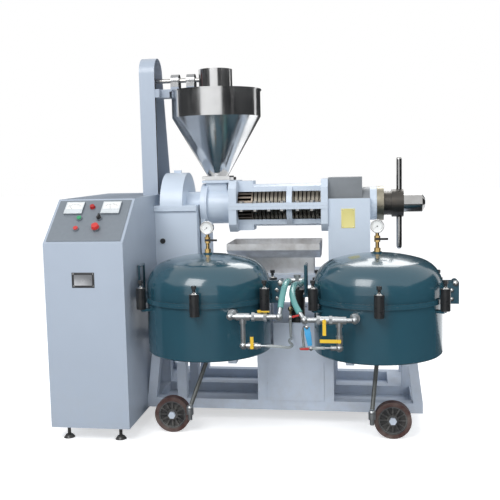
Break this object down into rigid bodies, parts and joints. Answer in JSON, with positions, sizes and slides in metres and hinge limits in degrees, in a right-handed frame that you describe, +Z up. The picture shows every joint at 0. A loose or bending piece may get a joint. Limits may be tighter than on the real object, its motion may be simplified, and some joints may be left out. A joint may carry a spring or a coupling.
{
  "type": "oil press",
  "caption": "Screw oil press: hopper with chain-driven stirrer, barred cage, choke with hand nut, gearbox, control cabinet and domed filter tanks on a wheeled frame.",
  "frame": {"origin": "on the floor under the axis of the press worm, at the centre of the four floor anchors", "axes": "+X along the press from the gearbox to the hand nut, -Y towards the filter tanks, +Z up"},
  "size_m": [1.925, 1.1261, 1.8879],
  "materials": {
    "frame_paint": "satin light grey paint",
    "cabinet_paint": "satin grey-blue paint",
    "console_plate": "matt grey with white meters",
    "guard_paint": "satin grey-blue paint",
    "tank_paint": "gloss dark teal enamel",
    "press_paint": "weathered grey paint",
    "stainless": "polished sheet",
    "machined_steel": "machined",
    "galvanised": "galvanised fittings",
    "black_steel": "gloss black",
    "brass": "bright",
    "lever_yellow": "dipped plastic",
    "lever_black": "dipped plastic",
    "button_green": "gloss",
    "button_red": "gloss",
    "hose_green": "translucent",
    "hose_clear": "translucent",
    "belt_rubber": "matt",
    "wheel_tyre": "red-brown polyurethane on a black hub"
  },
  "bodies": {
    "press_body": {"base_frame": "frame_paint", "bearing_housing": "machined_steel", "cabinet_shell": "cabinet_paint", "cage_bars": "machined_steel", "cage_bolts": "machined_steel", "cage_lower_half": "press_paint", "cage_upper_half": "press_paint", "chain_guard": "guard_paint", "clear_hose_left": "hose_clear", "clear_hose_right": "hose_clear", "console_panel": "console_plate", "discharge_pedestal": "press_paint", "drive_belts": "belt_rubber", "drive_motor": "black_steel", "feed_bearings": "guard_paint", "feed_chain": "black_steel", "feed_chamber": "press_paint", "filter_pipework": "galvanised", "filter_screens": "machined_steel", "gearbox_lower_case": "press_paint", "gearbox_upper_case": "press_paint", "green_hose_left": "hose_green", "green_hose_right": "hose_green", "hopper": "stainless", "hopper_head": "stainless", "left_clamps": "black_steel", "left_tank": "tank_paint", "levelling_feet": "black_steel", "oil_pump": "black_steel", "oil_tray": "stainless", "press_rings": "machined_steel", "right_clamps": "black_steel", "right_tank": "tank_paint", "settling_tank": "frame_paint", "shaft_bearings": "machined_steel"},
    "worm": {"worm_shaft": "machined_steel", "bull_gear": "machined_steel"},
    "input": {"input_shaft": "machined_steel"},
    "motor_rotor": {"motor_pulley": "machined_steel"},
    "feed_drive": {"feed_shaft": "machined_steel"},
    "stirrer": {"agitator": "machined_steel"},
    "gate": {"slide_gate": "machined_steel"},
    "choke": {"choke_screw": "machined_steel"},
    "nut": {"hand_nut": "machined_steel"},
    "left_cover": {"left_lid": "tank_paint", "left_gauge": "brass"},
    "right_cover": {"right_lid": "tank_paint", "right_gauge": "brass"},
    "left_vent": {"left_vent_lever": "lever_black"},
    "right_vent": {"right_vent_lever": "lever_black"},
    "left_upper_valve": {"left_upper_lever": "lever_yellow"},
    "left_lower_valve": {"left_lower_lever": "lever_yellow"},
    "right_upper_valve": {"right_upper_lever": "lever_yellow"},
    "right_lower_valve": {"right_lower_lever": "lever_yellow"},
    "start": {"start_button": "button_green"},
    "stop": {"stop_button": "button_red"},
    "emergency": {"emergency_stop": "button_red"},
    "selector": {"selector_knob": "lever_black"},
    "left_roller": {"left_wheel": "wheel_tyre"},
    "right_roller": {"right_wheel": "wheel_tyre"}
  },
  "joints": [
    {"name": "worm_spin", "type": "hinge", "parent": "press_body", "child": "worm", "pos_m": [0, 0, 1.082], "axis": [1, 0, 0], "continuous": true},
    {"name": "input_spin", "type": "hinge", "parent": "press_body", "child": "input", "pos_m": [0, 0, 0.873], "axis": [1, 0, 0], "continuous": true},
    {"name": "motor_spin", "type": "hinge", "parent": "press_body", "child": "motor_rotor", "pos_m": [0, 0, 0.33], "axis": [1, 0, 0], "continuous": true},
    {"name": "feed_spin", "type": "hinge", "parent": "press_body", "child": "feed_drive", "pos_m": [0, 0, 1.765], "axis": [1, 0, 0], "continuous": true},
    {"name": "stirrer_spin", "type": "hinge", "parent": "press_body", "child": "stirrer", "pos_m": [-0.35, 0, 1.5], "axis": [0, 0, 1], "continuous": true},
    {"name": "gate_slide", "type": "slide", "parent": "press_body", "child": "gate", "axis": [1, 0, 0], "range_m": [0, 0.11]},
    {"name": "nut_turn", "type": "hinge", "parent": "choke", "child": "nut", "pos_m": [0.622, 0, 1.082], "axis": [1, 0, 0], "range_deg": [-720, 720]},
    {"name": "choke_slide", "type": "slide", "parent": "press_body", "child": "choke", "axis": [1, 0, 0], "range_m": [-0.0161, 0.0161]},
    {"name": "left_lid_hinge", "type": "hinge", "parent": "press_body", "child": "left_cover", "pos_m": [0.039, -0.502, 0.735], "axis": [0, 1, 0], "range_deg": [0, 75]},
    {"name": "left_vent_turn", "type": "hinge", "parent": "left_cover", "child": "left_vent", "pos_m": [-0.317, -0.502, 0.942], "axis": [0, 1, 0], "range_deg": [0, 90]},
    {"name": "right_lid_hinge", "type": "hinge", "parent": "press_body", "child": "right_cover", "pos_m": [0.853, -0.502, 0.735], "axis": [0, 1, 0], "range_deg": [0, 75]},
    {"name": "right_vent_turn", "type": "hinge", "parent": "right_cover", "child": "right_vent", "pos_m": [0.497, -0.502, 0.942], "axis": [0, 1, 0], "range_deg": [0, 90]},
    {"name": "left_upper_valve_turn", "type": "hinge", "parent": "press_body", "child": "left_upper_valve", "pos_m": [-0.026, -0.835, 0.631], "axis": [0, 0, 1], "range_deg": [-90, 0]},
    {"name": "left_lower_valve_turn", "type": "hinge", "parent": "press_body", "child": "left_lower_valve", "pos_m": [-0.058, -0.835, 0.5], "axis": [0, 1, 0], "range_deg": [0, 90]},
    {"name": "right_upper_valve_turn", "type": "hinge", "parent": "press_body", "child": "right_upper_valve", "pos_m": [0.262, -0.85, 0.621], "axis": [0, 1, 0], "range_deg": [0, 90]},
    {"name": "right_lower_valve_turn", "type": "hinge", "parent": "press_body", "child": "right_lower_valve", "pos_m": [0.326, -0.85, 0.534], "axis": [0, 1, 0], "range_deg": [-90, 0]},
    {"name": "start_press", "type": "slide", "parent": "press_body", "child": "start", "axis": [0, 0.6554, -0.7552], "range_m": [0, 0.004], "stiffness_N_per_m": 300, "springref_m": -0.002},
    {"name": "stop_press", "type": "slide", "parent": "press_body", "child": "stop", "axis": [0, 0.6554, -0.7552], "range_m": [0, 0.004], "stiffness_N_per_m": 300, "springref_m": -0.002},
    {"name": "emergency_press", "type": "slide", "parent": "press_body", "child": "emergency", "axis": [0, 0.6554, -0.7552], "range_m": [0, 0.006], "stiffness_N_per_m": 300, "springref_m": -0.002},
    {"name": "selector_turn", "type": "hinge", "parent": "press_body", "child": "selector", "pos_m": [-0.816, -0.62992, 1.05871], "axis": [0, -0.6554, 0.7552], "range_deg": [-45, 45]},
    {"name": "left_wheel_spin", "type": "hinge", "parent": "press_body", "child": "left_roller", "pos_m": [-0.502, -0.56, 0.0875], "axis": [0, 1, 0], "continuous": true},
    {"name": "right_wheel_spin", "type": "hinge", "parent": "press_body", "child": "right_roller", "pos_m": [0.564, -0.56, 0.0875], "axis": [0, 1, 0], "continuous": true}
  ],
  "couplings": [
    {"joint": "input_spin", "follows": "worm_spin", "ratio": -2.6667},
    {"joint": "motor_spin", "follows": "worm_spin", "ratio": -7.2727},
    {"joint": "feed_spin", "follows": "worm_spin", "ratio": -1.7778},
    {"joint": "stirrer_spin", "follows": "worm_spin", "ratio": 0.88889},
    {"joint": "choke_slide", "follows": "nut_turn", "m_per_rad": 0.0012732}
  ]
}
